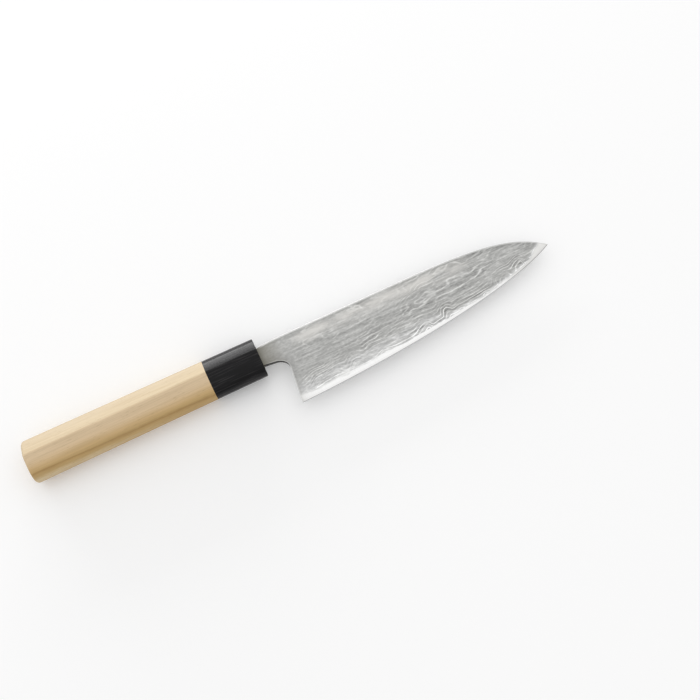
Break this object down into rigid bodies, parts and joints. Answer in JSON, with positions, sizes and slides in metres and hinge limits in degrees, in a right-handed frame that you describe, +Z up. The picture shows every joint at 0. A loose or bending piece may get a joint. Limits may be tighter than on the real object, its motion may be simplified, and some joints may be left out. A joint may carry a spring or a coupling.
{
  "type": "gyuto knife",
  "caption": "Japanese chef's knife: laminated pattern-welded blade with a bright core-steel edge, black horn ferrule and pale wooden D-section handle on a hidden tang.",
  "frame": {"origin": "centre of the bounding box, on the surface under the knife as it lies on its left side", "axes": "+X along the handle and blade to the point, +Y towards the spine, +Z up out of the right face"},
  "size_m": [0.334, 0.0494, 0.0195],
  "materials": {
    "core_steel": "polished, bright along the edge",
    "cladding": "satin, with fine wavy pattern-welded lines",
    "horn": "black, softly polished",
    "wood": "bare, fine-sanded pale magnolia",
    "resin": "dull olive grey"
  },
  "bodies": {
    "root": {"core_steel": "core_steel", "cladding_right": "cladding", "cladding_left": "cladding", "ferrule": "horn", "handle": "wood", "tang_seal": "resin"}
  },
  "joints": []
}
